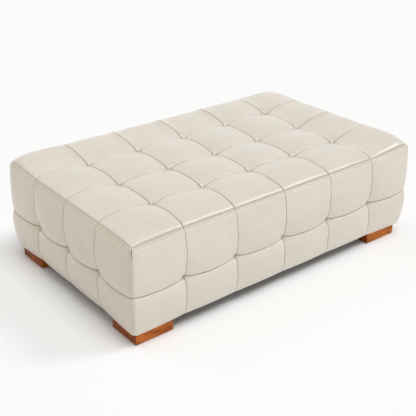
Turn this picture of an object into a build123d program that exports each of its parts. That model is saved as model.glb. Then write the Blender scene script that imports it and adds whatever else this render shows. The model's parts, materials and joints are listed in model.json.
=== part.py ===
from build123d import *
import os

# Tufted leather pouf on four block feet. Millimetres, +Z up, with the floor at Z = 0.
# The origin is on the floor under the middle. +X runs along the length and -Y is the front.

os.makedirs("parts", exist_ok=True)

# Overall sizes, taken between the edge seams of the leather cover
length = 1380
depth = 840
foot_height = 46
body_height = 360
squares_along = 6
squares_across = 4

# Leather top with its fibre filling: crests of the seams and of the squares above the tufts
edge_thickness = 6
edge_crown = 1
tuft_lift = 5
long_seam_crest = 22
cross_seam_crest = 19
square_crown = 30
strips_per_square = 8

# Leather sides with their fibre filling
side_cover_depth = 34
side_tuft_height = 165
strips_per_side_row = 6

# How far the sides are drawn in from the plane of the edge seam, or stand out of it where negative,
# and how far each row bulges out between its seams
long_tuft_inset = 2
short_tuft_inset = 1
tuft_square_inset = -13
tuft_corner_inset = -3
hem_seam_inset = 16
hem_square_inset = 12
hem_corner_inset = 16
upper_seam_bulge = 14
upper_square_bulge = 11
upper_corner_bulge = 4
lower_seam_bulge = 15
lower_square_bulge = 13
lower_corner_bulge = 11
upper_fullness = 2
lower_fullness = 3

# Foam and the boards that back it
top_foam_thickness = 60
side_foam_thickness = 24
board_thickness = 4

# Tufting ties, the slots they pass through and the toggles that hold them
tie_width = 12
tie_thickness = 1.5
tie_clearance = 1.5
toggle_length = 50
toggle_width = 16
toggle_thickness = 10
toggle_clearance = 6

# Wooden frame
deck_thickness = 18
slat_gap = 34
rail_thickness = 20
bottom_rail_height = 80
joist_height = 70
post_width = 45
side_post_width = 40
side_post_depth = 30
side_post_share = 0.55
corner_plate_width = 130
corner_plate_thickness = 22
dust_thickness = 1

# Block feet with their glides and bolts
foot_length = 165
foot_depth = 150
foot_inset = 15
foot_corner_radius = 6
foot_base_chamfer = 2
glide_thickness = 2
glide_width = 60
bolt_radius = 4
bolt_embedment = 30
bolt_tip = 6
thread_clearance = 0.1
nut_barrel_radius = 6
nut_barrel_length = 12
nut_flange_radius = 11
nut_flange_thickness = 2

# Levels above the floor
body_bottom = foot_height
frame_bottom = body_bottom + dust_thickness
edge_z = body_bottom + body_height
cover_base = edge_z - edge_thickness
tuft_z = edge_z + tuft_lift
deck_top = cover_base - top_foam_thickness
deck_bottom = deck_top - deck_thickness
side_tuft_z = body_bottom + side_tuft_height
top_rail_base = side_tuft_z + toggle_length / 2 + toggle_clearance
plate_top = frame_bottom + corner_plate_thickness

# Half widths about the middle, from the edge seam inwards
half_length = length / 2
half_depth = depth / 2
foam_half_length = half_length - side_cover_depth
foam_half_depth = half_depth - side_cover_depth
board_half_length = foam_half_length - side_foam_thickness
board_half_depth = foam_half_depth - side_foam_thickness
frame_half_length = board_half_length - board_thickness
frame_half_depth = board_half_depth - board_thickness
inner_half_length = frame_half_length - rail_thickness
inner_half_depth = frame_half_depth - rail_thickness

# Sizes that several pieces share
square_length = length / squares_along
square_depth = depth / squares_across
slot_width = tie_width + 2 * tie_clearance
slot_thickness = tie_thickness + 2 * tie_clearance
sheet_height = deck_top - frame_bottom
post_height = deck_bottom - frame_bottom

# The four sides: the way along each one, its length, how far out it stands, its squares and its tufts
UP = Vector(0, 0, 1)
sides = {
    "front": (Vector(1, 0, 0), length, half_depth, squares_along, long_tuft_inset),
    "back": (Vector(-1, 0, 0), length, half_depth, squares_along, long_tuft_inset),
    "left": (Vector(0, -1, 0), depth, half_length, squares_across, short_tuft_inset),
    "right": (Vector(0, 1, 0), depth, half_length, squares_across, short_tuft_inset),
}
corners = {
    "front_left": (-1, -1),
    "front_right": (1, -1),
    "back_left": (-1, 1),
    "back_right": (1, 1),
}


def level_plane(along, height):
    """Level plane of a side, with local X along it and local -Y out of it."""
    return Plane(origin=(0, 0, height), x_dir=along, z_dir=UP)


def upright_plane(along, distance):
    """Upright plane of a side, facing out, with local X along it and local Y up."""
    outward = along.cross(UP)
    return Plane(origin=outward * distance, x_dir=along, z_dir=outward)


def between(start, end, share):
    """Value at a share of the way from start to end."""
    return start + (end - start) * share


def arch(share, fullness=2):
    """Height of an arch of unit rise at a share of its span: a parabola, or blunter when fuller."""
    return 1 - abs(2 * share - 1) ** fullness


def crowned_edge(ends, crowns):
    """One arc from each end to the next, through the crown between them."""
    for start, crown, end in zip(ends, crowns, ends[1:]):
        ThreePointArc(start, crown, end)


# Top cover: four rows of crowned squares, sewn to each other along seams that dip at the tufts
def top_section(y, seam_height, crown_height):
    """Upright section across a row: one arc for each square over the flat underside."""
    heights = [edge_z] + [seam_height] * (squares_along - 1) + [edge_z]
    ends = [(-half_length + i * square_length, z) for i, z in enumerate(heights)]
    crowns = [(-half_length + (i + 0.5) * square_length, crown_height) for i in range(squares_along)]
    with BuildSketch(Plane.XZ.offset(-y)) as section:
        with BuildLine():
            crowned_edge(ends, crowns)
            Polyline(ends[-1], (half_length, cover_base), (-half_length, cover_base), ends[0])
        make_face()
    return section.sketch


def row_line_heights(line):
    """Heights of the cross seams and of the crests along a line between two rows."""
    if line in (0, squares_across):
        return edge_z, edge_z + edge_crown
    return tuft_z, tuft_z + long_seam_crest


def row_sections(row):
    """Sections of a row, from the line at its front to the line at its back."""
    front_seam, front_crown = row_line_heights(row)
    back_seam, back_crown = row_line_heights(row + 1)
    seam_rise = tuft_z + cross_seam_crest - between(front_seam, back_seam, 0.5)
    crown_rise = tuft_z + square_crown - between(front_crown, back_crown, 0.5)
    sections = []
    for strip in range(strips_per_square + 1):
        share = strip / strips_per_square
        seam_height = between(front_seam, back_seam, share) + seam_rise * arch(share)
        crown_height = between(front_crown, back_crown, share) + crown_rise * arch(share)
        sections.append(top_section(-half_depth + (row + share) * square_depth, seam_height, crown_height))
    return sections


with BuildPart() as top_cover:
    for row in range(squares_across):
        loft(row_sections(row), ruled=True)
top_cover.part.label = "top_cover"
export_step(top_cover.part, "parts/top_cover.step")


# Side covers: an upper and a lower row of squares that meet on the level seam through the tufts
def side_section(side, height, seam_inset, square_inset, corner_inset):
    """Level section of a side: one arc for each square, mitred ends and a flat back."""
    along, span, face, squares, _ = side
    pitch = span / squares
    corner = span / 2 - corner_inset
    back = span / 2 - side_cover_depth
    ends = [(-corner, corner_inset - face)]
    ends += [(-span / 2 + i * pitch, seam_inset - face) for i in range(1, squares)]
    ends += [(corner, corner_inset - face)]
    crowns = [(-span / 2 + (i + 0.5) * pitch, square_inset - face) for i in range(squares)]
    with BuildSketch(level_plane(along, height)) as section:
        with BuildLine():
            crowned_edge(ends, crowns)
            Polyline(ends[-1], (back, side_cover_depth - face), (-back, side_cover_depth - face), ends[0])
        make_face()
    return section.sketch


def side_row_sections(side, top_level, bottom_level, bulges, fullness):
    """Sections of a row of side squares. A level is its height and its seam, square and corner insets."""
    sections = []
    for strip in range(strips_per_side_row + 1):
        share = strip / strips_per_side_row
        height = between(top_level[0], bottom_level[0], share)
        insets = []
        for start, end, bulge in zip(top_level[1:], bottom_level[1:], bulges):
            insets.append(between(start, end, share) - bulge * arch(share, fullness))
        sections.append(side_section(side, height, *insets))
    return sections


edge_level = (cover_base, 0, -edge_crown, 0)
hem_level = (body_bottom, hem_seam_inset, hem_square_inset, hem_corner_inset)
upper_bulges = (upper_seam_bulge, upper_square_bulge, upper_corner_bulge)
lower_bulges = (lower_seam_bulge, lower_square_bulge, lower_corner_bulge)
for name, side in sides.items():
    tuft_level = (side_tuft_z, side[-1], tuft_square_inset, tuft_corner_inset)
    with BuildPart() as side_cover:
        loft(side_row_sections(side, edge_level, tuft_level, upper_bulges, upper_fullness), ruled=True)
        loft(side_row_sections(side, tuft_level, hem_level, lower_bulges, lower_fullness), ruled=True)
    side_cover.part.label = f"{name}_cover"
    export_step(side_cover.part, f"parts/{name}_cover.step")


# Foam: a slab under the top and a sheet behind each side cover, with a slot for each tie
with BuildPart() as top_foam:
    with BuildSketch(Plane.XY.offset(deck_top)):
        Rectangle(2 * foam_half_length, 2 * foam_half_depth)
        with GridLocations(square_length, square_depth, squares_along - 1, squares_across - 1):
            Rectangle(slot_width, slot_thickness, mode=Mode.SUBTRACT)
    extrude(amount=top_foam_thickness)
top_foam.part.label = "top_foam"
export_step(top_foam.part, "parts/top_foam.step")


def tuft_places(side):
    """Places of the tufts of a side in its upright plane."""
    _, span, _, squares, _ = side
    return [(-span / 2 + i * span / squares, side_tuft_z) for i in range(1, squares)]


def sheet_outline(side, width):
    """Sheet behind a side cover, from the underside of the frame to the top of the deck."""
    with Locations((0, frame_bottom)):
        Rectangle(width, sheet_height, align=(Align.CENTER, Align.MIN))
    with Locations(*tuft_places(side)):
        Rectangle(slot_thickness, slot_width, mode=Mode.SUBTRACT)


foam_widths = {
    "front": 2 * foam_half_length,
    "back": 2 * foam_half_length,
    "left": 2 * board_half_depth,
    "right": 2 * board_half_depth,
}
for name, side in sides.items():
    along, _, face, _, _ = side
    with BuildPart() as side_foam:
        with BuildSketch(upright_plane(along, face - side_cover_depth)):
            sheet_outline(side, foam_widths[name])
        extrude(amount=-side_foam_thickness)
    side_foam.part.label = f"{name}_foam"
    export_step(side_foam.part, f"parts/{name}_foam.step")


# Side boards: thin panels on the outside of the frame that back the side foam
board_widths = {
    "front": 2 * board_half_length,
    "back": 2 * board_half_length,
    "left": 2 * frame_half_depth,
    "right": 2 * frame_half_depth,
}
for name, side in sides.items():
    along, _, face, _, _ = side
    with BuildPart() as side_board:
        with BuildSketch(upright_plane(along, face - side_cover_depth - side_foam_thickness)):
            sheet_outline(side, board_widths[name])
        extrude(amount=-board_thickness)
    side_board.part.label = f"{name}_board"
    export_step(side_board.part, f"parts/{name}_board.step")


# Ties: flat tapes from the tufts, and toggles that hold them under the deck and behind the side boards
with BuildPart() as top_ties:
    with BuildSketch(Plane.XY.offset(deck_bottom)):
        with GridLocations(square_length, square_depth, squares_along - 1, squares_across - 1):
            Rectangle(tie_width, tie_thickness)
    extrude(amount=cover_base - deck_bottom)
top_ties.part.label = "top_ties"
export_step(top_ties.part, "parts/top_ties.step")

with BuildPart() as top_toggles:
    with BuildSketch(Plane.XY.offset(deck_bottom)):
        with GridLocations(square_length, square_depth, squares_along - 1, squares_across - 1):
            Rectangle(toggle_length, toggle_width)
    extrude(amount=-toggle_thickness)
top_toggles.part.label = "top_toggles"
export_step(top_toggles.part, "parts/top_toggles.step")

with BuildPart() as side_ties:
    for side in sides.values():
        with BuildSketch(upright_plane(side[0], side[2] - side_cover_depth)):
            with Locations(*tuft_places(side)):
                Rectangle(tie_thickness, tie_width)
        extrude(amount=-(side_foam_thickness + board_thickness))
side_ties.part.label = "side_ties"
export_step(side_ties.part, "parts/side_ties.step")

with BuildPart() as side_toggles:
    for side in sides.values():
        board_back = side[2] - side_cover_depth - side_foam_thickness - board_thickness
        with BuildSketch(upright_plane(side[0], board_back)):
            with Locations(*tuft_places(side)):
                Rectangle(toggle_width, toggle_length)
        extrude(amount=-toggle_thickness)
side_toggles.part.label = "side_toggles"
export_step(side_toggles.part, "parts/side_toggles.step")


# Deck: one slat under each column of squares, with a gap at each column of ties
slat_edges = [-frame_half_length]
for column in range(1, squares_along):
    tie_line = -half_length + column * square_length
    slat_edges += [tie_line - slat_gap / 2, tie_line + slat_gap / 2]
slat_edges += [frame_half_length]
for number in range(squares_along):
    start, end = slat_edges[2 * number : 2 * number + 2]
    with BuildPart() as deck_slat:
        with BuildSketch(Plane.XY.offset(deck_bottom)):
            with Locations(((start + end) / 2, 0)):
                Rectangle(end - start, 2 * frame_half_depth)
        extrude(amount=deck_thickness)
    deck_slat.part.label = f"deck_slat_{number + 1}"
    export_step(deck_slat.part, f"parts/deck_slat_{number + 1}.step")

for name, way in {"front": -1, "back": 1}.items():
    with BuildPart() as joist:
        with BuildSketch(Plane.XY.offset(deck_bottom)):
            with Locations((0, way * square_depth / 2)):
                Rectangle(2 * inner_half_length, rail_thickness)
        extrude(amount=-joist_height)
    joist.part.label = f"joist_{name}"
    export_step(joist.part, f"parts/joist_{name}.step")


# Rails: the long ones run the whole length and the end ones stand between them
rail_lengths = {
    "front": 2 * frame_half_length,
    "back": 2 * frame_half_length,
    "left": 2 * inner_half_depth,
    "right": 2 * inner_half_depth,
}
rail_levels = {
    "top": (top_rail_base, deck_bottom - top_rail_base),
    "bottom": (frame_bottom, bottom_rail_height),
}
for level, (height, rail_height) in rail_levels.items():
    for name, side in sides.items():
        board_back = side[2] - side_cover_depth - side_foam_thickness - board_thickness
        with BuildPart() as rail:
            with BuildSketch(upright_plane(side[0], board_back)):
                with Locations((0, height)):
                    Rectangle(rail_lengths[name], rail_height, align=(Align.CENTER, Align.MIN))
            extrude(amount=-rail_thickness)
        rail.part.label = f"{level}_rail_{name}"
        export_step(rail.part, f"parts/{level}_rail_{name}.step")

with BuildPart() as stretcher:
    with BuildSketch(Plane.XY.offset(frame_bottom)):
        Rectangle(rail_thickness, 2 * inner_half_depth)
    extrude(amount=bottom_rail_height)
stretcher.part.label = "bottom_stretcher"
export_step(stretcher.part, "parts/bottom_stretcher.step")


# Corner plates, with the hole that each foot's nut sits in, and the posts that stand on them
plate_x = inner_half_length - corner_plate_width / 2
plate_y = inner_half_depth - corner_plate_width / 2
post_x = inner_half_length - post_width / 2
post_y = inner_half_depth - post_width / 2
side_post_x = side_post_share * inner_half_length
side_post_y = inner_half_depth - side_post_depth / 2
for name, (way_x, way_y) in corners.items():
    with BuildPart() as plate:
        with BuildSketch(Plane.XY.offset(frame_bottom)):
            with Locations((way_x * plate_x, way_y * plate_y)):
                Rectangle(corner_plate_width, corner_plate_width)
                Circle(nut_barrel_radius, mode=Mode.SUBTRACT)
        extrude(amount=corner_plate_thickness)
    plate.part.label = f"corner_plate_{name}"
    export_step(plate.part, f"parts/corner_plate_{name}.step")

    with BuildPart() as post:
        with BuildSketch(Plane.XY.offset(plate_top)):
            with Locations((way_x * post_x, way_y * post_y)):
                Rectangle(post_width, post_width)
        extrude(amount=deck_bottom - plate_top)
    post.part.label = f"corner_post_{name}"
    export_step(post.part, f"parts/corner_post_{name}.step")

    with BuildPart() as side_post:
        with BuildSketch(Plane.XY.offset(frame_bottom)):
            with Locations((way_x * side_post_x, way_y * side_post_y)):
                Rectangle(side_post_width, side_post_depth)
        extrude(amount=post_height)
    side_post.part.label = f"side_post_{name}"
    export_step(side_post.part, f"parts/side_post_{name}.step")


# Dust cover: thin cloth under the frame and the foam, with a hole for each bolt
bolt_places = [(way_x * plate_x, way_y * plate_y) for way_x, way_y in corners.values()]
with BuildPart() as dust_cover:
    with BuildSketch(Plane.XY.offset(body_bottom)):
        Rectangle(2 * foam_half_length, 2 * foam_half_depth)
        with Locations(*bolt_places):
            Circle(nut_barrel_radius, mode=Mode.SUBTRACT)
    extrude(amount=dust_thickness)
dust_cover.part.label = "dust_cover"
export_step(dust_cover.part, "parts/dust_cover.step")


# Feet: solid blocks with rounded uprights, each bored for its bolt, and a felt glide under each
foot_x = half_length - foot_inset - foot_length / 2
foot_y = half_depth - foot_inset - foot_depth / 2
bolt_bottom = body_bottom - bolt_embedment
for name, (way_x, way_y) in corners.items():
    with BuildPart() as foot:
        with BuildSketch(Plane.XY.offset(glide_thickness)):
            with Locations((way_x * foot_x, way_y * foot_y)):
                RectangleRounded(foot_length, foot_depth, foot_corner_radius)
        extrude(amount=body_bottom - glide_thickness)
        chamfer(foot.faces().sort_by(Axis.Z)[0].edges(), length=foot_base_chamfer)
        with BuildSketch(Plane.XY.offset(bolt_bottom)):
            with Locations((way_x * plate_x, way_y * plate_y)):
                Circle(bolt_radius + thread_clearance)
        extrude(amount=bolt_embedment, mode=Mode.SUBTRACT)
    foot.part.label = f"foot_{name}"
    export_step(foot.part, f"parts/foot_{name}.step")

with BuildPart() as foot_glides:
    with BuildSketch():
        with GridLocations(2 * foot_x, 2 * foot_y, 2, 2):
            Rectangle(glide_width, glide_width)
    extrude(amount=glide_thickness)
foot_glides.part.label = "foot_glides"
export_step(foot_glides.part, "parts/foot_glides.step")


# Foot fasteners: a hanger bolt in each foot and the tee nut on the corner plate that takes it
with BuildPart() as foot_bolts:
    with BuildSketch(Plane.XY.offset(bolt_bottom)):
        with Locations(*bolt_places):
            Circle(bolt_radius)
    extrude(amount=plate_top + nut_flange_thickness + bolt_tip - bolt_bottom)
foot_bolts.part.label = "foot_bolts"
export_step(foot_bolts.part, "parts/foot_bolts.step")

with BuildPart() as foot_nuts:
    with BuildSketch(Plane.XY.offset(plate_top)):
        with Locations(*bolt_places):
            Circle(nut_flange_radius)
            Circle(bolt_radius + thread_clearance, mode=Mode.SUBTRACT)
    extrude(amount=nut_flange_thickness)
    with BuildSketch(Plane.XY.offset(plate_top)):
        with Locations(*bolt_places):
            Circle(nut_barrel_radius)
            Circle(bolt_radius + thread_clearance, mode=Mode.SUBTRACT)
    extrude(amount=-nut_barrel_length)
foot_nuts.part.label = "foot_nuts"
export_step(foot_nuts.part, "parts/foot_nuts.step")
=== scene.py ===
import bmesh
import bpy
import json
import math
import numpy as np
from mathutils import Matrix, Vector

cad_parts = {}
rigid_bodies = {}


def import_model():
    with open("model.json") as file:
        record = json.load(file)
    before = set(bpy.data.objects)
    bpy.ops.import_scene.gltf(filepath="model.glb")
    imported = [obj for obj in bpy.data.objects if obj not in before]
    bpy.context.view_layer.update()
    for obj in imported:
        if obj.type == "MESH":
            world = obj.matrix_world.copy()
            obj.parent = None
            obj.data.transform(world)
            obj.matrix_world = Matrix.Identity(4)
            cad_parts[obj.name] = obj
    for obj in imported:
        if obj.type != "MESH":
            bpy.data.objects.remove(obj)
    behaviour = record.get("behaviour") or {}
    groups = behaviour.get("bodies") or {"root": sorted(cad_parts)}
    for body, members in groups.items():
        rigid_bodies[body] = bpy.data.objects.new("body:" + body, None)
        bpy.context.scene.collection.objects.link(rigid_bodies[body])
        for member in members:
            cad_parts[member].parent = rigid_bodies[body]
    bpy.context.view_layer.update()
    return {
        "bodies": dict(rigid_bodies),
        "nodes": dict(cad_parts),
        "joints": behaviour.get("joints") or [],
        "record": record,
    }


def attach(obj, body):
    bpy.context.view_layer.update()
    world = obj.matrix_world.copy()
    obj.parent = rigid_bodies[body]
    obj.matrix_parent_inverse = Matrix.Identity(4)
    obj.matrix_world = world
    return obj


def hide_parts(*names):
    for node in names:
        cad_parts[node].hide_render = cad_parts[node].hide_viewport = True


# Tufted leather pouf on four block feet. The shapes are worked out in millimetres, in the frame's
# axes: +Z up with the floor at Z = 0, +X along the length and -Y to the front. Blender gets metres.

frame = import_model()
MM = 0.001

# Sizes of the body between the edge seams, from the solids
half_length = 690
half_depth = 420
edge_z = 405
tuft_z = 411
side_tuft_z = 211
hem_z = 50
underside_z = 46.2
cover_depth = 34
cover_base = 400
squares_along = 6
squares_across = 4
square_size = (2 * half_length / squares_along, 2 * half_depth / squares_across)

# Top: heights of the seams and squares above their ends, and how much they vary
long_seam_rise = 15
cross_seam_rise = 14
edge_seam_gain = 2
square_rise = 26
middle_tuft_sink = 3
crown_fullness = 2.6
top_seam_variation = 1.2
top_square_variation = (-1, 1.5)

# Roll of the top by each edge seam: its rise at the two ends of the side, how far in it reaches,
# and its dip at each seam
edge_roll = {"front": (15, 11), "back": (50, 20), "left": (10, 20), "right": (60, 20)}
roll_reach = 17
roll_dip = 0.12
roll_fullness = 4
corner_roll_reach = 36

# How far the edge seam stands above its own level at each corner
corner_rise = {
    ("left", "front"): -6,
    ("right", "front"): 11,
    ("right", "back"): 4,
    ("left", "back"): 11,
}

# Sides: how far seams and squares stand out of the plane of the edge seam, and how their lines sag
tuft_inset = 2
corner_stand = {"front": 4, "back": 4, "left": 6, "right": 9}
hem_inset = 13
hem_corner_inset = {"front": 9, "back": 7, "left": 5, "right": -11}
upper_seam_stand = 14
lower_seam_stand = 12
level_seam_stand = 15
hem_square_stand = 2.5
upper_corner_stand = 4
lower_corner_stand = {"front": 7, "back": 7, "left": 9, "right": 9}
long_level_sag = 5
short_level_sag = 6
hem_droop = 0.5
corner_hem_droop = 3
row_fullness = (2.0, 3.0)
end_square_gain = (4, 1)
side_seam_variation = 1
sag_variation = 1.5
upper_square_variation = (-1.5, 1)
lower_square_variation = (-1, 1)

# Where the seams of each side meet the edge seam, the tufts and the hem: pitch and shift along
# the side, and how far the first seam stands off its place
seam_places = {
    "front": ((237, -7, 8), (235, 2), (239, 15)),
    "back": ((231, 4), (230, -4), (232, 6)),
    "left": ((216, -4), (209, -7), (220, -21)),
    "right": ((211, 5), (210, -3), (209, 6)),
}

# Sewing: rolled lips of the seams, and the band with its rows of stitches
lip_radius = 7
lip_depth = 6
under_lip_radius = 8
upright_lip_radius = 5
upright_lip_depth = 3.2
upright_lip_least = 0.35
row_lip_radius = 4
row_lip_rise = 2.6
row_lip_reach = 60
band_half_width = 4.4
edge_radius = 8
stitch_groove = 0.8
stitch_groove_width = 0.8
centre_groove_radius = 1.2
centre_groove_depth = 0.6
corner_row_distance = 6.5
corner_groove_radius = 2.2
corner_groove_depth = 1
corner_puff_height = 0.6
corner_puff_width = 4
corner_sewing_least = 0.3
top_corner_radius = 6
low_corner_radius = 18
low_corner_reach = 330
turned_edge_power = 2.2

# Painted shade of the seams, as a distance from a seam: what is added to it on stitch rows, the band
# and the corner seams, and how slowly it grows away from corners and crossings, where the shade
# spreads
side_seam_gain = 1.5
row_shade = 0.6
row_half_width = 0.45
top_row_shade = 1.1
band_shade = 2.3
corner_shade = 1.2
corner_row_shade = 0.3
corner_share = 0.6
crossing_share = 0.3
unshaded_distance = 40

# Distances over which the sewing and the unevenness come up from an edge
lip_fade = 9
row_fade = 3
hem_fade = 60
top_calm_reach = 60
side_calm_reach = 50
rim_sink_reach = 3
corner_line_reach = 4
corner_sink_reach = 6

# Tufts: the pit, and the folds that fan out of it
pit_depth = 10
pit_radius = 13
pit_hole_depth = 5
pit_hole_radius = 4
fold_count = 7
fold_depth = 1.1
fold_length = 46
fold_angle_shares = (0.15, 0.85)
fold_depth_shares = (0.35, 1)
fold_length_shares = (0.55, 1)
fold_width = 1.6
fold_spread = 0.07
fold_half_angle = 1.2
fold_start = 9
fold_full_share = 0.3
tuft_reach = 1.6 * fold_length

# Slow waves of the stuffed leather
wave_count = 12
wave_lengths = (60, 190)
wave_size_shares = (0.4, 1)
top_wave_size = 1.3
side_wave_size = 1.2

# Stitches, and how far down the two rows of squares they run at the corners
stitch_length = 6.2
stitch_gap = 2.4
thread_radius = 0.55
thread_sides = 6
row_points = 600
lowest_stitch = 1.93

# Cloth simulation of the stuffed leather: grid, pull, time and the most that a point may move
cloth_step = 11
top_pressure = 2.5
side_pressure = 2
cloth_mass = 0.3
cloth_tension = 30
cloth_bending = 8
cloth_slack = 0.002
cloth_frames = 20
swell_room = 5
most_swell = 10
calm_passes = 10

# Distances of the mesh lines from a seam, close together where the leather rolls into it
line_steps = (
    0, 0.5, 1.1, 1.8, 2.6, 3.5, 4.4, 4.7, 5.3, 6.3, 8, 10,
    13, 17, 22, 28, 35, 43, 52, 62, 73, 85, 98,
)
least_line_gap = 6
turned_edge_lines = 6

random_source = np.random.default_rng(11)


def arch(share, fullness=2.0):
    """Height of an arch of unit rise at a share of its span."""
    return 1 - np.abs(2 * share - 1) ** fullness


def smooth(value):
    """Smooth step of a value from 0 to 1."""
    value = np.clip(value, 0, 1)
    return value * value * (3 - 2 * value)


def cubic_weights(place):
    """Grid point before each place, and the weights of the four points round it."""
    first = np.floor(place).astype(int)
    x = place - first
    weights = (
        -0.5 * x + x**2 - 0.5 * x**3,
        1 - 2.5 * x**2 + 1.5 * x**3,
        0.5 * x + 2 * x**2 - 1.5 * x**3,
        -0.5 * x**2 + 0.5 * x**3,
    )
    return first, weights


# Cells that stand for too far to matter
many = 9


def from_ends(place, share, count):
    """Cells between a point and the nearer end of a row of cells, if it is in an end cell."""
    first = np.where(place == 0, share, many)
    return np.minimum(first, np.where(place == count - 1, 1 - share, many))


def from_seams(place, share, count):
    """Cells between a point and the nearer seam that isn't an end of the row."""
    before = np.where(place > 0, share, many)
    return np.minimum(before, np.where(place < count - 1, 1 - share, many))


def places(span, count, pitch, shift, first=0):
    """Places of the seams along a side, and its two ends; the first seam may stand a little off."""
    inner = [(i - count / 2) * pitch + shift for i in range(1, count)]
    inner[0] += first
    return np.array([-span / 2] + inner + [span / 2])


class Net:
    """Squares sewn together: nodes, arcs of the seams between them and crowns of the squares."""

    def __init__(self, columns, rows):
        self.columns, self.rows = columns, rows
        self.along, self.across, self.out = np.zeros((3, columns + 1, rows + 1))
        self.along_arc, self.along_sag = np.zeros((2, columns, rows + 1))
        self.across_arc = np.zeros((columns + 1, rows))
        self.crown = np.zeros((columns, rows))
        self.across_fullness = np.full(rows, 2.0)
        self.end_share = 0.0
        self.cell_size = (1.0, 1.0)
        self.rolls = None
        self.swell = None

    def cell(self, u, v):
        """Square of each point, and its shares along and across it."""
        i = np.clip(np.floor(u).astype(int), 0, self.columns - 1)
        j = np.clip(np.floor(v).astype(int), 0, self.rows - 1)
        return i, j, np.clip(u - i, 0, 1), np.clip(v - j, 0, 1)

    def point(self, u, v):
        """Places along and across and stand out of the panel, before any sewing."""
        i, j, s, t = self.cell(u, v)
        corners = (
            (i, j, (1 - s) * (1 - t)),
            (i + 1, j, s * (1 - t)),
            (i, j + 1, (1 - s) * t),
            (i + 1, j + 1, s * t),
        )
        along = sum(self.along[a, b] * share for a, b, share in corners)
        across = sum(self.across[a, b] * share for a, b, share in corners)
        out = sum(self.out[a, b] * share for a, b, share in corners)
        full = self.across_fullness[j]
        end_arc = np.where(i == 0, -(1 - s), 0) * self.across_arc[0, j]
        end_arc = end_arc + np.where(i == self.columns - 1, s, 0) * self.across_arc[-1, j]
        along = along + self.end_share * end_arc * arch(t, full)
        across = across + ((1 - t) * self.along_sag[i, j] + t * self.along_sag[i, j + 1]) * arch(s)
        out = out + ((1 - t) * self.along_arc[i, j] + t * self.along_arc[i, j + 1]) * arch(s)
        out = out + ((1 - s) * self.across_arc[i, j] + s * self.across_arc[i + 1, j]) * arch(t, full)
        out = out + self.crown[i, j] * arch(s, crown_fullness) * arch(t, crown_fullness)
        if self.rolls:
            out = out + self.roll(u, v)
        if self.swell is not None:
            out = out + self.swelling(u, v)
        return along, across, out

    def swelling(self, u, v):
        """How far the simulated leather comes out, smooth between its grid points."""
        total = 0
        last_u, last_v = self.swell.shape[0] - 1, self.swell.shape[1] - 1
        first_u, weights_u = cubic_weights(np.clip(u / self.columns, 0, 1) * last_u)
        first_v, weights_v = cubic_weights(np.clip(v / self.rows, 0, 1) * last_v)
        for a, weight_u in enumerate(weights_u):
            for b, weight_v in enumerate(weights_v):
                at_u = np.clip(first_u + a - 1, 0, last_u)
                at_v = np.clip(first_v + b - 1, 0, last_v)
                total = total + weight_u * weight_v * self.swell[at_u, at_v]
        return total

    def roll(self, u, v):
        """Extra rise of the panel by its four edges: steep at the seam, and gone one square in."""
        width, depth = self.cell_size
        far_u, far_v = self.columns - u, self.rows - v
        rim_u = np.minimum(u, far_u) * width
        rim_v = np.minimum(v, far_v) * depth
        edges = (
            ("left", u, v, self.rows, width, rim_v),
            ("right", far_u, v, self.rows, width, rim_v),
            ("front", v, u, self.columns, depth, rim_u),
            ("back", far_v, u, self.columns, depth, rim_u),
        )
        total = 0
        for side, cells, along, count, size, to_corner in edges:
            way = along / count
            first, last = self.rolls[side]
            height = first + (last - first) * way
            inside = np.clip(cells, 0, 1)
            rise = 1 - np.exp(-inside * size / roll_reach)
            rise = rise - inside * (1 - math.exp(-size / roll_reach))
            puff = 1 - roll_dip + roll_dip * arch(np.mod(way * count, 1.0), roll_fullness)
            total = total + height * rise * puff * (1 - np.exp(-to_corner / corner_roll_reach))
        return total


def groove(distance, radius, depth):
    """Depth of the line between two rolled lips."""
    share = 1 - np.clip(distance / radius, 0, 1)
    return -depth * (1 - np.sqrt(1 - share * share))


def stitch_line(distance, place):
    """Shallow channel that a row of stitches pulls in."""
    return -stitch_groove * np.exp(-(((distance - place) / stitch_groove_width) ** 2))


def band(distance):
    """Rounded band beside the edge seam, with its centre line and its stitch channel."""
    _, drop = corner_moves(distance, edge_radius)
    centre = groove(distance, centre_groove_radius, centre_groove_depth)
    return stitch_line(distance, band_half_width) + centre - drop + row_lip(distance)


def row_lip(distance):
    """Leather swelling out just past the stitch row and settling further in."""
    share = 1 - np.clip((distance - band_half_width) / row_lip_radius, 0, 1)
    return row_lip_rise * np.sqrt(1 - share * share) * (1 - smooth(distance / row_lip_reach))


def corner_sewing(distance):
    """Upright corner seam, its stitch row and the leather puffed out past it."""
    past_row = (distance - corner_row_distance - corner_puff_width) / corner_puff_width
    puff = corner_puff_height * np.exp(-(past_row**2))
    line = stitch_line(distance, corner_row_distance)
    return puff + line + groove(distance, corner_groove_radius, corner_groove_depth)


def tuft_dips(net, along, across, nodes):
    """Pits at the tufts with small folds that fan out of them."""
    dip = np.zeros_like(along)
    for (i, j), folds in nodes.items():
        x = along - net.along[i, j]
        y = across - net.across[i, j]
        reach = np.hypot(x, y)
        near = reach < tuft_reach
        x, y, rho = x[near], y[near], reach[near]
        pit = -pit_depth * np.exp(-((rho / pit_radius) ** 2))
        pit = pit - pit_hole_depth * np.exp(-((rho / pit_hole_radius) ** 2))
        bearing = np.arctan2(y, x)
        width = fold_width + fold_spread * rho
        for angle, strength, length in folds:
            turn = np.arctan2(np.sin(bearing - angle), np.cos(bearing - angle))
            cross = np.where(np.abs(turn) < fold_half_angle, rho * np.sin(turn), np.inf)
            fade = smooth((rho - fold_full_share * length) / ((1 - fold_full_share) * length))
            window = smooth(rho / fold_start) * (1 - fade)
            pit = pit - strength * window * np.exp(-((cross / width) ** 2))
        dip[near] += pit
    return dip


def edge_sink(distance):
    """How far the rim of a panel is drawn in where it meets the next panel at the edge seam."""
    shift, _ = corner_moves(distance, edge_radius)
    rim = stitch_line(0, band_half_width) - centre_groove_depth
    return shift - rim * np.clip(1 - distance / rim_sink_reach, 0, 1)


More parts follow.
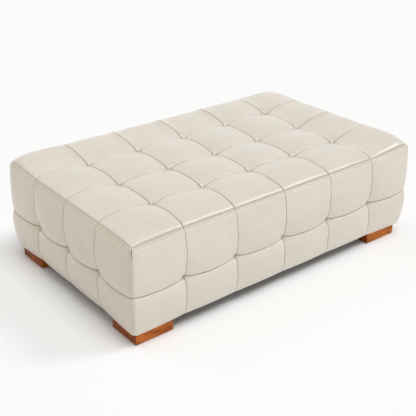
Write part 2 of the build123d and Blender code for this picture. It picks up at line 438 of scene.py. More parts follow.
# Shares of its radius over which a corner is rounded, and by which its tip is cut back
rounding_reach = 2.2
rounding_cut = 0.293


def corner_moves(distance, radius):
    """Shift along a side and drop across it that round a corner of the given radius."""
    reach = rounding_reach * radius
    shift = rounding_cut * radius * np.clip(1 - distance / reach, 0, 1) ** 2
    inside = np.clip(1 - (distance + shift) / radius, 0, 1)
    return shift, radius - radius * np.sqrt(1 - inside * inside)


def random_folds(nodes):
    """Angles, depths and lengths of the folds round each tuft."""
    folds = {}
    for node in nodes:
        rows = []
        for k in range(fold_count):
            angle = 2 * math.pi * (k + random_source.uniform(*fold_angle_shares)) / fold_count
            strength = fold_depth * random_source.uniform(*fold_depth_shares)
            rows.append((angle, strength, fold_length * random_source.uniform(*fold_length_shares)))
        folds[node] = rows
    return folds


def random_waves(amplitude):
    """Slow waves that make the stuffed leather uneven."""
    waves = []
    for _ in range(wave_count):
        bearing = random_source.uniform(0, math.pi)
        length = random_source.uniform(*wave_lengths)
        phase = random_source.uniform(0, 2 * math.pi)
        size = amplitude * random_source.uniform(*wave_size_shares) / math.sqrt(wave_count)
        waves.append((math.cos(bearing) / length, math.sin(bearing) / length, phase, size))
    return waves


def unevenness(waves, along, across):
    """Height of the slow waves at each place."""
    total = np.zeros_like(along)
    for kx, ky, phase, size in waves:
        total += size * np.sin(2 * math.pi * (kx * along + ky * across) + phase)
    return total


class TopPanel:
    """Leather top: its own height field between the four edge seams."""

    name = "top_cushion"
    out_axis = np.array([0, 0, 1])
    pressure = top_pressure

    def __init__(self):
        columns, rows = squares_along, squares_across
        net = Net(columns, rows)
        net.along[:] = ((np.arange(columns + 1) - columns / 2) * square_size[0])[:, None]
        net.across[:] = (np.arange(rows + 1) - rows / 2) * square_size[1]
        net.along[:, 0] = places(2 * half_length, columns, *seam_places["front"][0])
        net.along[:, -1] = -places(2 * half_length, columns, *seam_places["back"][0])[::-1]
        net.across[0, :] = -places(2 * half_depth, rows, *seam_places["left"][0])[::-1]
        net.across[-1, :] = places(2 * half_depth, rows, *seam_places["right"][0])
        net.cell_size = self.cell_size = square_size
        net.out[:] = tuft_z
        net.out[:, rows // 2] -= middle_tuft_sink
        net.out[[0, -1]] = edge_z
        net.out[:, [0, -1]] = edge_z
        for (end, long_side), rise in corner_rise.items():
            net.out[0 if end == "left" else -1, 0 if long_side == "front" else -1] += rise
        vary = random_source.uniform
        spread = (-top_seam_variation, top_seam_variation)
        net.along_arc[:] = long_seam_rise + vary(*spread, net.along_arc.shape)
        net.across_arc[:] = cross_seam_rise + vary(*spread, net.across_arc.shape)
        net.along_arc[[0, -1]] += edge_seam_gain
        net.across_arc[:, [0, -1]] += edge_seam_gain
        net.along_arc[:, [0, -1]] = 0
        net.across_arc[[0, -1]] = 0
        net.rolls = edge_roll
        middle = np.meshgrid(np.arange(columns) + 0.5, np.arange(rows) + 0.5, indexing="ij")
        crests = tuft_z + square_rise + vary(*top_square_variation, net.crown.shape)
        net.crown = crests - net.point(*middle)[2]
        self.net = net
        self.folds = random_folds([(i, j) for i in range(1, columns) for j in range(1, rows)])
        self.waves = random_waves(top_wave_size)

    def surface(self, u, v):
        """Points of the leather and their distances from a seam, which set its painted seam shade."""
        net = self.net
        i, j, s, t = net.cell(u, v)
        x, y, z = net.point(u, v)
        width, depth = self.cell_size
        end_u = from_ends(i, s, net.columns) * width
        end_v = from_ends(j, t, net.rows) * depth
        inner_u = from_seams(i, s, net.columns) * width
        inner_v = from_seams(j, t, net.rows) * depth
        rim = np.minimum(end_u, end_v)
        for seam in (inner_u, inner_v):
            z = z + groove(seam, lip_radius, lip_depth) * smooth(rim / lip_fade)
        z = z + tuft_dips(net, x, y, self.folds)
        z = z + unevenness(self.waves, x, y) * smooth(rim / top_calm_reach)
        z = z + band(rim)
        x, y = self.rounded(x, y)
        # Painted shade: these distances darken the leather's colour in the seams, round the tufts and
        # the corners, on the stitch rows and along the band
        seams = np.minimum(inner_u, inner_v)
        crossings = crossing_share * np.hypot(inner_u, inner_v)
        corners = corner_share * np.hypot(end_u, end_v)
        stitching = np.abs(rim - band_half_width) + top_row_shade
        shade_distance = np.minimum.reduce([seams, crossings, corners, stitching, rim + band_shade])
        return np.stack([x, y, z], -1), shade_distance

    def plain(self, u, v):
        """Panel before any sewing."""
        return np.stack(self.net.point(u, v), -1)

    def flat_back(self, rim):
        """Rim points laid on the foam behind the top."""
        x = np.clip(rim[:, 0], -half_length + cover_depth, half_length - cover_depth)
        y = np.clip(rim[:, 1], -half_depth + cover_depth, half_depth - cover_depth)
        return np.stack([x, y, np.full(len(rim), cover_base)], -1)

    def rounded(self, x, y):
        """Rim drawn in at the edge seam, and the corners brought in to a small radius."""
        end_x, end_y = half_length - np.abs(x), half_depth - np.abs(y)
        shift_x, drop_x = corner_moves(end_x, top_corner_radius)
        shift_y, drop_y = corner_moves(end_y, top_corner_radius)
        full = rounding_cut * top_corner_radius
        in_x = drop_y * shift_x / full + edge_sink(end_x)
        in_y = drop_x * shift_y / full + edge_sink(end_y)
        return x - np.sign(x) * in_x, y - np.sign(y) * in_y


class SidePanel:
    """Leather side: two rows of squares, the hem and its turned edge."""

    pressure = side_pressure

    # Way along, way out, distance of the side from the middle, its span and its count of squares
    frames = {
        "front": ((1, 0), (0, -1), half_depth, 2 * half_length, squares_along),
        "back": ((-1, 0), (0, 1), half_depth, 2 * half_length, squares_along),
        "left": ((0, -1), (-1, 0), half_length, 2 * half_depth, squares_across),
        "right": ((0, 1), (1, 0), half_length, 2 * half_depth, squares_across),
    }

    neighbours = {
        "front": ("left", "right"),
        "back": ("right", "left"),
        "left": ("back", "front"),
        "right": ("front", "back"),
    }

    def __init__(self, side):
        self.side = side
        self.name = side + "_cushion"
        self.way, self.normal, self.face, self.span, columns = self.frames[side]
        self.out_axis = np.array([*self.normal, 0])
        net = Net(columns, 2)
        sag = long_level_sag if columns == squares_along else short_level_sag
        for j, seams in enumerate(seam_places[side]):
            net.along[:, j] = places(self.span, columns, *seams)
        first, last = self.neighbours[side]
        net.along[0] += (0, -corner_stand[first], hem_corner_inset[first])
        net.along[-1] -= (0, -corner_stand[last], hem_corner_inset[last])
        net.across[:] = (edge_z, side_tuft_z, hem_z)
        for i, neighbour in ((0, first), (-1, last)):
            pair = (side, neighbour)
            net.across[i, 0] += corner_rise[pair if pair in corner_rise else pair[::-1]]
        net.across[[0, -1], 2] -= corner_hem_droop
        net.out[1:-1] = (0, -tuft_inset, -hem_inset)
        net.out[[0, -1]] = (0, corner_stand[side], -hem_corner_inset[side])
        vary = random_source.uniform
        spread = (-side_seam_variation, side_seam_variation)
        net.along_arc[:, 1] = level_seam_stand + vary(*spread, columns)
        net.along_arc[:, 2] = hem_square_stand
        net.along_arc[[0, -1], 1] -= (corner_stand[side] + tuft_inset) / 2
        net.along_sag[:, 1] = -sag + vary(-sag_variation, sag_variation, columns)
        net.along_sag[:, 2] = -hem_droop
        net.across_arc[1:-1, 0] = upper_seam_stand + vary(*spread, columns - 1)
        net.across_arc[1:-1, 1] = lower_seam_stand + vary(*spread, columns - 1)
        net.across_arc[[0, -1], 0] = upper_corner_stand
        net.across_arc[[0, -1], 1] = lower_corner_stand[side]
        net.across_fullness = np.array(row_fullness)
        net.crown[:, 0] = vary(*upper_square_variation, columns)
        net.crown[:, 1] = vary(*lower_square_variation, columns)
        net.crown[[0, -1]] += end_square_gain
        net.end_share = 1.0
        self.net = net
        self.cell_size = (self.span / columns, (edge_z - side_tuft_z, side_tuft_z - hem_z))
        self.folds = random_folds([(i, 1) for i in range(1, columns)])
        self.waves = random_waves(side_wave_size)

    def surface(self, u, v):
        """Points of the leather and their distances from a seam, which set its painted seam shade;
        past 2, v turns in under the hem.
        """
        net = self.net
        face_v = np.minimum(v, 2.0)
        i, j, s, t = net.cell(u, face_v)
        a, b, w = net.point(u, face_v)
        row_height = np.where(j == 0, *self.cell_size[1])
        end = from_ends(i, s, net.columns) * self.cell_size[0]
        top = np.where(j == 0, t, many) * row_height
        inner_u = from_seams(i, s, net.columns) * self.cell_size[0]
        inner_v = from_seams(j, t, net.rows) * row_height
        low = smooth((b - hem_z) / hem_fade)
        upright_share = upright_lip_least + (1 - upright_lip_least) * low
        upright_lips = groove(inner_u, upright_lip_radius, upright_lip_depth)
        w = w + upright_lips * smooth(top / lip_fade) * upright_share
        level_radius = np.where(j == 0, lip_radius, under_lip_radius)
        w = w + groove(inner_v, level_radius, lip_depth) * smooth(end / row_fade)
        w = w + tuft_dips(net, a, b, self.folds)
        calm = smooth(end / side_calm_reach) * smooth(top / side_calm_reach) * low
        w = w + unevenness(self.waves, a, b) * calm
        w = w + band(top)
        sewing_share = corner_sewing_least + (1 - corner_sewing_least) * low
        sewing_share = sewing_share * smooth(top / row_fade)
        w = w + corner_sewing(end) * sewing_share
        sign = np.where(u < net.columns / 2, -1, 1)
        a, w = self.rounded(a, b, w, sign, face_v)
        corner_line = corner_sewing(np.zeros_like(end)) * sewing_share
        a = a + sign * corner_line * np.clip(1 - end / corner_line_reach, 0, 1)
        a = a - sign * edge_sink(end) * np.clip(1 - top / corner_sink_reach, 0, 1)
        b = b - edge_sink(top)
        turn = np.clip(v - 2, 0, 1)
        w = w + (-cover_depth - w) * turn
        fall = np.where(turn > 0, (1 - turn) ** turned_edge_power, 1)
        b = underside_z + (b - underside_z) * fall
        a = self.tucked(a, turn)
        # Painted shade: these distances darken the leather's colour in the seams, on the stitch rows,
        # along the band and by the corner seams
        level_row = np.maximum(np.abs(top - band_half_width) - row_half_width, 0)
        corner_row = np.abs(end - corner_row_distance) + corner_row_shade
        stitching = np.minimum(level_row, corner_row) + row_shade
        lines = [inner_u, inner_v, top + band_shade, end + corner_shade, stitching]
        shade_distance = side_seam_gain * np.minimum.reduce(lines)
        return self.upright(a, b, w), shade_distance + unshaded_distance * turn

    def plain(self, u, v):
        """Panel before any sewing."""
        return self.upright(*self.net.point(u, v))

    def flat_back(self, rim):
        """Rim points laid on the board behind the side."""
        a = rim[:, 0] * self.way[0] + rim[:, 1] * self.way[1]
        limit = self.span / 2 - cover_depth
        heights = np.clip(rim[:, 2], underside_z, cover_base)
        return self.upright(np.clip(a, -limit, limit), heights, -cover_depth)

    def upright(self, a, b, w):
        """Points in space from places along, heights and stands out of the panel."""
        x = self.way[0] * a + self.normal[0] * (self.face + w)
        y = self.way[1] * a + self.normal[1] * (self.face + w)
        return np.stack([x, y, b], -1)

    def rounded(self, a, b, w, sign, v):
        """Upright corners rounded in plan, sharper at the top."""
        blunting = smooth((edge_z - b) / low_corner_reach)
        radius = top_corner_radius + (low_corner_radius - top_corner_radius) * blunting
        corner, _, _ = self.net.point(np.where(sign < 0, 0.0, self.net.columns), v)
        shift, drop = corner_moves(np.clip(sign * (corner - a), 0, None), radius)
        return a - sign * shift, w - drop

    def tucked(self, a, turn):
        """Ends of the turned edge brought in along the mitre."""
        limit = self.span / 2 - cover_depth
        return np.where(turn > 0, a + (np.clip(a, -limit, limit) - a) * turn, a)


def cell_lines(count, width):
    """Mesh line places across cells of one width, in cells."""
    half = [d for d in line_steps if d < width / 2 - least_line_gap] + [width / 2]
    shares = [d / width for d in half] + [1 - d / width for d in reversed(half[:-1])]
    lines = []
    for cell in range(count):
        lines += [cell + share for share in shares[:-1]]
    return np.array(lines + [count])


def panel_lines(panel):
    """Mesh lines of a panel along and across it."""
    along = cell_lines(panel.net.columns, panel.cell_size[0])
    if panel.name == "top_cushion":
        return along, cell_lines(panel.net.rows, panel.cell_size[1])
    upper, lower = (cell_lines(1, height) for height in panel.cell_size[1])
    turn = 2 + np.linspace(0, 1, turned_edge_lines + 1)[1:]
    return along, np.concatenate([upper[:-1], 1 + lower, turn])


def add_mesh(name, vertices, faces):
    """New object from vertices in millimetres."""
    mesh = bpy.data.meshes.new(name)
    mesh.from_pydata((np.asarray(vertices) * MM).tolist(), [], faces)
    mesh.validate()
    mesh.update()
    piece = bpy.data.objects.new(name, mesh)
    bpy.context.scene.collection.objects.link(piece)
    return piece


def closed_shell(name, skin, lay_back):
    """Mesh of a skin given on a grid, closed behind by its rim points laid back."""
    nu, nv = skin.shape[:2]
    index = np.arange(nu * nv).reshape(nu, nv)
    corners = (index[:-1, :-1], index[1:, :-1], index[1:, 1:], index[:-1, 1:])
    quads = np.stack(corners, -1).reshape(-1, 4)
    rim = [*index[:, 0], *index[-1, 1:], *index[-2::-1, -1], *index[0, -2:0:-1]]
    points = skin.reshape(-1, 3)
    back = lay_back(points[rim])
    first = nu * nv
    count = len(rim)
    ring = [(rim[k], rim[(k + 1) % count], first + (k + 1) % count, first + k) for k in range(count)]
    centre = back.mean(axis=0)
    fan = [(first + k, first + (k + 1) % count, first + count) for k in range(count)]
    vertices = np.concatenate([points, back, centre[None]])
    piece = add_mesh(name, vertices, quads.tolist() + ring + fan)
    outward(piece)
    return piece


def closed_cushion(panel):
    """Leather cushion of a panel, with each point's distance from the nearest seam for the painted
    seam shade.
    """
    uu, vv = np.meshgrid(*panel_lines(panel), indexing="ij")
    skin, shade_distance = panel.surface(uu, vv)
    piece = closed_shell(panel.name, skin, panel.flat_back)
    values = np.full(len(piece.data.vertices), float(unshaded_distance))
    values[: shade_distance.size] = shade_distance.reshape(-1)
    layer = piece.data.attributes.new("seam_shade_distance", "FLOAT", "POINT")
    layer.data.foreach_set("value", values * MM)
    return piece


def cloth_object(panel, skin, held):
    """Coarse cushion with Cloth: pressed out from inside, held at the seams and the back."""
    inwards = 2 * cover_depth * panel.out_axis
    piece = closed_shell("cloth_" + panel.name, skin, lambda rim: rim - inwards)
    pinned = np.ones(len(piece.data.vertices), bool)
    pinned[: held.size] = held.reshape(-1)
    pins = piece.vertex_groups.new(name="held")
    pins.add(np.flatnonzero(pinned).tolist(), 1.0, "REPLACE")
    modifier = piece.modifiers.new("cloth", "CLOTH")
    modifier.point_cache.frame_start = 1
    modifier.point_cache.frame_end = cloth_frames
    settings = modifier.settings
    settings.vertex_group_mass = "held"
    settings.mass = cloth_mass
    settings.tension_stiffness = cloth_tension
    settings.compression_stiffness = cloth_tension
    settings.bending_stiffness = cloth_bending
    settings.shrink_min = -cloth_slack
    settings.use_pressure = True
    settings.uniform_pressure_force = panel.pressure
    settings.effector_weights.gravity = 0
    return piece


def calmed(moves, held):
    """Simulated moves with the small wrinkles taken down, as in stiff leather; the seams stay."""
    for _ in range(calm_passes):
        around = np.pad(moves, 1, mode="edge")
        along = around[:-2, 1:-1] + around[2:, 1:-1]
        mean = (along + around[1:-1, :-2] + around[1:-1, 2:]) / 4
        moves = np.where(held, moves, (moves + mean) / 2)
    return moves


def swell(panel):
    """Leather let out by its stuffing: a short cloth simulation, capped and kept on the panel."""
    net = panel.net
    sizes = (panel.cell_size[0], np.max(panel.cell_size[1]))
    counts = [round(size / cloth_step) for size in sizes]
    u = np.arange(net.columns * counts[0] + 1) / counts[0]
    v = np.arange(net.rows * counts[1] + 1) / counts[1]
    uu, vv = np.meshgrid(u, v, indexing="ij")
    held = (uu == np.round(uu)) | (vv == np.round(vv))
    net.crown = net.crown - swell_room
    rolls, net.rolls = net.rolls, None
    skin = panel.plain(uu, vv)
    piece = cloth_object(panel, skin, held)
    scene = bpy.context.scene
    for frame in range(1, cloth_frames + 1):
        scene.frame_set(frame)
    settled = piece.evaluated_get(bpy.context.evaluated_depsgraph_get()).data
    points = np.zeros(len(settled.vertices) * 3)
    settled.vertices.foreach_get("co", points)
    moves = points.reshape(-1, 3)[: uu.size].reshape(*uu.shape, 3) / MM - skin
    out = calmed(np.clip(moves @ panel.out_axis, -most_swell, most_swell), held)
    mesh = piece.data
    bpy.data.objects.remove(piece)
    bpy.data.meshes.remove(mesh)
    scene.frame_set(1)
    middle = out[counts[0] // 2 :: counts[0], counts[1] // 2 :: counts[1]]
    net.crown = net.crown + swell_room - middle[: net.columns, : net.rows]
    net.swell = out
    net.rolls = rolls


def outward(piece):
    """Faces of a closed piece turned to face out."""
    work = bmesh.new()
    work.from_mesh(piece.data)
    bmesh.ops.recalc_face_normals(work, faces=work.faces)
    work.to_mesh(piece.data)
    work.free()
    piece.data.polygons.foreach_set("use_smooth", [True] * len(piece.data.polygons))
    piece.data.update()


def stitch_row(panel, u, v):
    """Stitches along a line on a panel: the two ends of each, and the way out."""
    step = 0.004
    line, _ = panel.surface(u, v)
    du, _ = panel.surface(u + step, v)
    dv, _ = panel.surface(u, v + step)
    normal = np.cross(du - line, dv - line)
    normal /= np.linalg.norm(normal, axis=1)[:, None]
    steps = np.linalg.norm(np.diff(line, axis=0), axis=1)
    way = np.concatenate([[0], np.cumsum(steps)])
    pitch = stitch_length + stitch_gap
    count = int(way[-1] // pitch)
    margin = (way[-1] - count * pitch) / 2

    def along(values, distance):
        return np.array([np.interp(distance, way, values[:, axis]) for axis in range(3)])

    rows = []
    for k in range(count):
        start = margin + k * pitch + stitch_gap / 2
        out = along(normal, start + stitch_length / 2)
        ends = along(line, start), along(line, start + stitch_length)
        rows.append((*ends, out / np.linalg.norm(out)))
    return rows


def stitches(name, rows):
    """Stitches as small capsules of thread, half sunk in the leather, each made of rings."""
    shares = (0, 0.1, 0.3, 0.7, 0.9, 1)
    sizes = (0.25, 0.8, 1, 1, 0.8, 0.25)
    rises = (-0.35, 0.0, 0.18, 0.18, 0.0, -0.35)
    turns = [2 * math.pi * k / thread_sides for k in range(thread_sides)]
    vertices, faces = [], []
    for start, end, out in rows:
        if np.dot(out, away_from_middle((start + end) / 2)) < 0:
            out = -out
        ahead = (end - start) / np.linalg.norm(end - start)
        side = np.cross(ahead, out)
        first = len(vertices)
        for share, size, rise in zip(shares, sizes, rises):
            centre = start + (end - start) * share + out * rise
            for turn in turns:
                spoke = math.cos(turn) * side + math.sin(turn) * out
                vertices.append(centre + thread_radius * size * spoke)
        last = len(vertices) - thread_sides
        for ring in range(first, last, thread_sides):
            for k in range(thread_sides):
                a = ring + k
                b = ring + (k + 1) % thread_sides
                faces.append((a, b, b + thread_sides, a + thread_sides))
        faces.append(tuple(first + k for k in reversed(range(thread_sides))))
        faces.append(tuple(last + k for k in range(thread_sides)))
    piece = add_mesh(name, vertices, faces)
    outward(piece)
    return piece


def away_from_middle(point):
    """Rough way out of the long and low body at a point."""
    middle, flatness = (0, 0, 200), (0.6, 1, 2)
    return (point - middle) * flatness


def edge_stitches(top, sides):
    """Rows of stitches above and below the edge seam and on both sides of the corner seams."""
    rows = []
    du, dv = (band_half_width / size for size in top.cell_size)
    inner_u = np.clip(np.linspace(0, squares_along, row_points), du, squares_along - du)
    inner_v = np.clip(np.linspace(0, squares_across, row_points), dv, squares_across - dv)
    for v in (dv, squares_across - dv):
        rows += stitch_row(top, inner_u, np.full(row_points, v))
    for u in (du, squares_along - du):
        rows += stitch_row(top, np.full(row_points, u), inner_v)
    for side in sides:
        count = side.net.columns
        inset = corner_row_distance / side.cell_size[0]
        below = band_half_width / side.cell_size[1][0]
        along = np.clip(np.linspace(0, count, row_points), inset, count - inset)
        rows += stitch_row(side, along, np.full(row_points, below))
        down = np.linspace(below * 2, lowest_stitch, row_points)
        for u in (inset, count - inset):
            rows += stitch_row(side, np.full(row_points, u), down)
    return stitches("edge_stitches", rows)


def srgb(red, green, blue):
    """Colour from its screen values of 0 to 255."""
    channels = []
    for value in (red, green, blue):
        share = value / 255
        channels.append(share / 12.92 if share <= 0.04045 else ((share + 0.055) / 1.055) ** 2.4)
    return (*channels, 1.0)


class Nodes:
    """Node tree of a material."""

    def __init__(self, name):
        self.material = bpy.data.materials.new(name)
        self.material.use_nodes = True
        self.tree = self.material.node_tree
        self.shader = self.tree.nodes["Principled BSDF"]

    def add(self, kind, **settings):
        """New node, with the settings and the socket values that are given by name."""
        node = self.tree.nodes.new(kind)
        for key, value in settings.items():
            if hasattr(node, key):
                setattr(node, key, value)
            else:
                node.inputs[key.replace("_", " ").title()].default_value = value
        return node

    def link(self, source, target):
        self.tree.links.new(source, target)

    def put(self, value, socket):
        """Link to a socket, or a constant on it."""
        if hasattr(value, "is_output"):
            self.link(value, socket)
        else:
            socket.default_value = value

    def coordinates(self, scale=(1, 1, 1), turn=(0, 0, 0)):
        place = self.add("ShaderNodeTexCoord")
        mapping = self.add("ShaderNodeMapping", Scale=scale, Rotation=turn)
        self.link(place.outputs["Object"], mapping.inputs["Vector"])
        return mapping.outputs["Vector"]

    def noise(self, vector, scale, detail=3, roughness=0.5, distortion=0):
        node = self.add("ShaderNodeTexNoise", Scale=scale, Detail=detail)
        node.inputs["Roughness"].default_value = roughness
        node.inputs["Distortion"].default_value = distortion
        self.link(vector, node.inputs["Vector"])
        return node.outputs["Fac"]

    def cells(self, vector, scale):
        node = self.add("ShaderNodeTexVoronoi", Scale=scale)
        self.link(vector, node.inputs["Vector"])
        return node.outputs["Distance"]

    def waves(self, vector, scale, direction):
        node = self.add("ShaderNodeTexWave", bands_direction=direction, Scale=scale)
        self.link(vector, node.inputs["Vector"])
        return node.outputs["Color"]

    def ramp(self, value, stops):
        """Colour ramp; the first two stops are its ends."""
        node = self.add("ShaderNodeValToRGB")
        ramp = node.color_ramp
        for place, colour in stops[2:]:
            ramp.elements.new(place)
        for element, (place, colour) in zip(ramp.elements, stops):
            element.position = place
            element.color = colour
        self.link(value, node.inputs["Fac"])
        return node.outputs["Color"]

    def spread(self, value, low, high, to_low=0.0, to_high=1.0):
        ends = {"From_Min": low, "From_Max": high, "To_Min": to_low, "To_Max": to_high}
        node = self.add("ShaderNodeMapRange", **ends)
        self.link(value, node.inputs["Value"])
        return node.outputs["Result"]

    def end_grain(self):
        """1 on faces across the fibres, which run along X, and 0 on the others."""
        place = self.add("ShaderNodeTexCoord")
        parts = self.add("ShaderNodeSeparateXYZ")
        self.link(place.outputs["Normal"], parts.inputs["Vector"])
        size = self.add("ShaderNodeMath", operation="ABSOLUTE")
        self.link(parts.outputs["X"], size.inputs[0])
        return self.spread(size.outputs["Value"], 0.6, 0.8)

    def mix(self, share, first, second, way="MIX"):
        node = self.add("ShaderNodeMix", data_type="RGBA", blend_type=way)
        for socket, value in (("Factor", share), ("A", first), ("B", second)):
            self.put(value, [s for s in node.inputs if s.name == socket and s.enabled][0])
        return [s for s in node.outputs if s.enabled][0]

    def multiplied(self, first, colour):
        return self.mix(1.0, first, (*colour, 1), "MULTIPLY")

    def bump(self, height, strength, distance, below=None):
        node = self.add("ShaderNodeBump", Strength=strength, Distance=distance)
        self.link(height, node.inputs["Height"])
        if below is not None:
            self.link(below, node.inputs["Normal"])
        return node.outputs["Normal"]

    def finish(self, colour, roughness, normal=None, **constants):
        """The material, with links or constants on its shader's sockets."""
        for key, value in (("Base Color", colour), ("Roughness", roughness), ("Normal", normal)):
            if value is not None:
                self.put(value, self.shader.inputs[key])
        for key, value in constants.items():
            self.shader.inputs[key.replace("_", " ")].default_value = value
        return self.material


# Tints that paint light and shade on the leather of the top and each side: the left side, which gets
# the least light, darkest and warmest, and the top darkened against its bright sheen
panel_shade_tints = {
    "top": (0.85, 0.84, 0.83),
    "front": (0.98, 0.965, 0.94),
    "back": (0.97, 0.94, 0.9),
    "left": (0.885, 0.835, 0.775),
    "right": (0.98, 0.95, 0.91),
}


def leather_material(name, tint):
    """Off-white leather with a fine pebbled grain, a slow tone change, painted shade in the seams and
    a tint that paints the panel's shade or light.
    """
    m = Nodes(name)
    place = m.coordinates()
    slow = m.spread(m.noise(place, 5, 3, 0.5), 0.3, 0.7)
    tone = m.mix(slow, srgb(231, 225, 214), srgb(236, 230, 220))
    mottle = m.spread(m.noise(place, 55, 4, 0.6), 0.35, 0.7)
    tone = m.mix(mottle, m.multiplied(tone, (0.965, 0.962, 0.955)), tone)
    # Painted shade and light: the tint that sets how light or dark this panel shows
    tone = m.multiplied(tone, tint)
    # Painted shade: the colour turns a darker brown close to seams, stitch rows, tufts and corners
    seam = m.add("ShaderNodeAttribute", attribute_name="seam_shade_distance")
    depth = m.spread(seam.outputs["Fac"], 0.0002, 0.0025, 1, 0)
    tone = m.mix(depth, tone, srgb(165, 146, 117))
    normal = m.bump(m.noise(place, 150, 4, 0.62), 0.12, 0.0006)
    normal = m.bump(m.cells(place, 640), 0.16, 0.0003, normal)
    rough = m.spread(m.noise(place, 40, 3), 0.3, 0.7, 0.34, 0.4)
    gloss = {"Specular_IOR_Level": 0.4, "Coat_Weight": 0.65, "Coat_Roughness": 0.2}
    return m.finish(tone, rough, normal, **gloss)


def thread_material():
    """Twisted thread, a little darker than the leather."""
    m = Nodes("ivory_thread")
    twist = m.noise(m.coordinates(), 900, 2)
    tone = m.mix(twist, srgb(176, 162, 136), srgb(204, 192, 168))
    return m.finish(tone, 0.7, m.bump(twist, 0.3, 0.0002))


def wood_material(name, dark, middle, light, streak=(7, 60, 70), gloss=0.5):
    """Stained wood with streaks along X and slow darker patches."""
    m = Nodes(name)
    flow = m.coordinates(streak, (0.0, 0.12, 0.25))
    grain = m.noise(flow, 2.2, 6, 0.62, 0.8)
    patches = m.noise(m.coordinates((9, 14, 18)), 1.6, 3, 0.5)
    tone = m.ramp(grain, [(0.28, dark), (0.72, light), (0.5, middle)])
    shade = m.spread(patches, 0.35, 0.65)
    tone = m.mix(shade, m.multiplied(tone, (0.62, 0.56, 0.52)), tone)
    tone = m.mix(m.end_grain(), tone, m.multiplied(tone, (0.56, 0.49, 0.56)))
    pores = m.noise(m.coordinates((40, 900, 900)), 1.0, 2)
    normal = m.bump(pores, 0.12, 0.0003)
    rough = m.spread(grain, 0.3, 0.7, gloss + 0.06, gloss - 0.05)
    return m.finish(tone, rough, normal, Specular_IOR_Level=0.2)


def cloth_material(name, dark, light, scale):
    """Plain woven cloth."""
    m = Nodes(name)
    place = m.coordinates()
    weave = m.mix(0.5, m.waves(place, scale, "X"), m.waves(place, scale, "Y"))
    tone = m.mix(m.noise(place, 30, 4), dark, light)
    return m.finish(tone, 0.9, m.bump(weave, 0.3, 0.0004))


def speckled_material(name, dark, light, scale, roughness, metal=0.0):
    """Foam, felt, board or metal: one tone broken up by fine noise."""
    m = Nodes(name)
    place = m.coordinates()
    specks = m.noise(place, scale, 5, 0.65)
    tone = m.mix(m.spread(specks, 0.3, 0.7), dark, light)
    return m.finish(tone, roughness, m.bump(specks, 0.25, 0.0005), Metallic=metal)


def slot_materials():
    """One material for each finish that the record names."""
    pine = srgb(176, 132, 84), srgb(206, 168, 118), srgb(222, 190, 144)
    cherry = srgb(120, 51, 13), srgb(222, 105, 25), srgb(250, 145, 48)
    foam = srgb(222, 205, 160), srgb(240, 226, 186)
    board = srgb(120, 104, 84), srgb(152, 134, 108)
    felt = srgb(70, 64, 58), srgb(98, 90, 82)
    steel = srgb(168, 170, 172), srgb(196, 198, 200)
    tape = srgb(180, 172, 156), srgb(204, 197, 182)
    black = srgb(20, 20, 21), srgb(34, 34, 36)
    return {
        "cover_leather": leather_material("ivory_leather", panel_shade_tints["top"]),
        "foam": speckled_material("cream_foam", *foam, 500, 0.95),
        "side_board": speckled_material("grey_board", *board, 260, 0.85),
        "frame_wood": wood_material("pine", *pine, gloss=0.6),
        "foot_wood": wood_material("cherry", *cherry),
        "tie_tape": cloth_material("tie_tape", *tape, 400),
        "dust_cloth": cloth_material("black_cloth", *black, 300),
        "felt": speckled_material("grey_felt", *felt, 700, 0.98),
        "fastener_steel": speckled_material("zinc_steel", *steel, 300, 0.35, 1.0),
    }


def dress_solids(materials):
    """The record's finishes on the solids that stay."""
    slots = {part["node"]: part["material_slot"] for part in frame["record"]["subparts"]}
    for name, piece in frame["nodes"].items():
        for slot in piece.material_slots:
            slot.material = materials[slots[name]]


# World: how much it lights the object, and its colour as a light. Seen directly it is white.
world_level = 0.415
world_tone = (1, 0.965, 0.9)


def floor_and_world():
    """Pale floor that takes the object's shadow, and an even pale world."""
    half = 16000
    corners = [(-half, -half, 0), (half, -half, 0), (half, half, 0), (-half, half, 0)]
    floor = add_mesh("floor", corners, [(0, 1, 2, 3)])
    m = Nodes("floor_paint")
    tone = m.mix(m.noise(m.coordinates(), 0.4, 2), (0.94, 0.955, 0.985, 1), (0.945, 0.96, 0.985, 1))
    floor.data.materials.append(m.finish(tone, 0.9, Specular_IOR_Level=0.0))
    world = bpy.data.worlds.new("studio")
    world.use_nodes = True
    bpy.context.scene.world = world
    tree = world.node_tree
    rays = tree.nodes.new("ShaderNodeLightPath")
    seen = rays.outputs["Is Camera Ray"]
    for kind in ("Is Transmission Ray", "Is Glossy Ray"):
        either = tree.nodes.new("ShaderNodeMath")
        either.operation = "MAXIMUM"
        tree.links.new(seen, either.inputs[0])
        tree.links.new(rays.outputs[kind], either.inputs[1])
        seen = either.outputs[0]
    tone = tree.nodes.new("ShaderNodeMixRGB")
    tone.inputs["Color1"].default_value = (*(world_level * part for part in world_tone), 1)
    tone.inputs["Color2"].default_value = (1, 1, 1, 1)
    tree.links.new(seen, tone.inputs["Fac"])
    tree.links.new(tone.outputs["Color"], tree.nodes["Background"].inputs["Color"])


# Lamps: level, bearing from the front towards the right, height and softness
lamps = {
    "overhead": (1.29, 0, 73, 34),
    "side": (0.61, 64, 48, 16),
    "back": (0.29, -155, 50, 40),
}


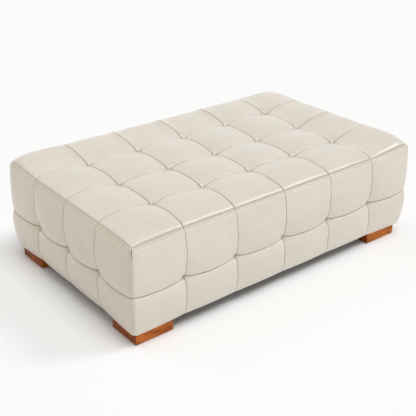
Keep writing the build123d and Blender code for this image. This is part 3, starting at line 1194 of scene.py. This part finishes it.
def lamp(name, level, bearing, height, softness):
    """Sun lamp that shines from a bearing and a height."""
    data = bpy.data.lights.new(name, "SUN")
    data.energy = level
    data.angle = math.radians(softness)
    data.color = (1.0, 0.995, 0.985)
    piece = bpy.data.objects.new(name, data)
    piece.rotation_euler = direction(bearing, height).to_track_quat("Z", "Y").to_euler()
    bpy.context.scene.collection.objects.link(piece)


def direction(bearing, height):
    """Unit vector at a bearing from the front towards the right, and a height."""
    bearing, height = math.radians(bearing), math.radians(height)
    level = math.cos(height)
    return Vector((math.sin(bearing) * level, -math.cos(bearing) * level, math.sin(height)))


# Camera, fitted to the photograph: bearing, height, roll, distance and the point it looks at
view_bearing = -38.983
view_height = 27.061
view_roll = 0.615
view_distance = 3846
view_target = (105.66, 168.15, 66)
picture_size = 416
focal_pixels = 872.66
sensor = 36


def camera():
    """The photograph's camera."""
    roll = math.radians(view_roll)
    back = direction(view_bearing, view_height)
    right = Vector((0, 0, 1)).cross(back).normalized()
    up = back.cross(right)
    turned_right = right * math.cos(roll) + up * math.sin(roll)
    turned_up = up * math.cos(roll) - right * math.sin(roll)
    data = bpy.data.cameras.new("camera")
    data.sensor_width = sensor
    data.lens = sensor * focal_pixels / picture_size
    data.clip_end = 100
    eye = bpy.data.objects.new("camera", data)
    place = (Vector(view_target) + back * view_distance) * MM
    rows = [(turned_right[k], turned_up[k], back[k], place[k]) for k in range(3)]
    eye.matrix_world = Matrix((*rows, (0, 0, 0, 1)))
    bpy.context.scene.collection.objects.link(eye)
    bpy.context.scene.camera = eye


def cover(materials):
    """The five leather cushions and their stitching."""
    top = TopPanel()
    sides = [SidePanel(side) for side in ("front", "back", "left", "right")]
    panels = [top] + sides
    for panel in panels:
        swell(panel)
    for panel in panels:
        piece = closed_cushion(panel)
        hide = materials["cover_leather"]
        # Each side gets its own copy of the leather, with a tint that paints its shade or light
        if panel is not top:
            hide = leather_material("ivory_leather_" + panel.side, panel_shade_tints[panel.side])
        piece.data.materials.append(hide)
        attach(piece, "root")
        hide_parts(panel.name.replace("cushion", "cover"))
    thread = edge_stitches(top, sides)
    thread.data.materials.append(thread_material())
    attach(thread, "root")


materials = slot_materials()
cover(materials)
dress_solids(materials)
floor_and_world()
for name, values in lamps.items():
    lamp(name, *values)
camera()
bpy.context.scene.view_settings.view_transform = "Standard"
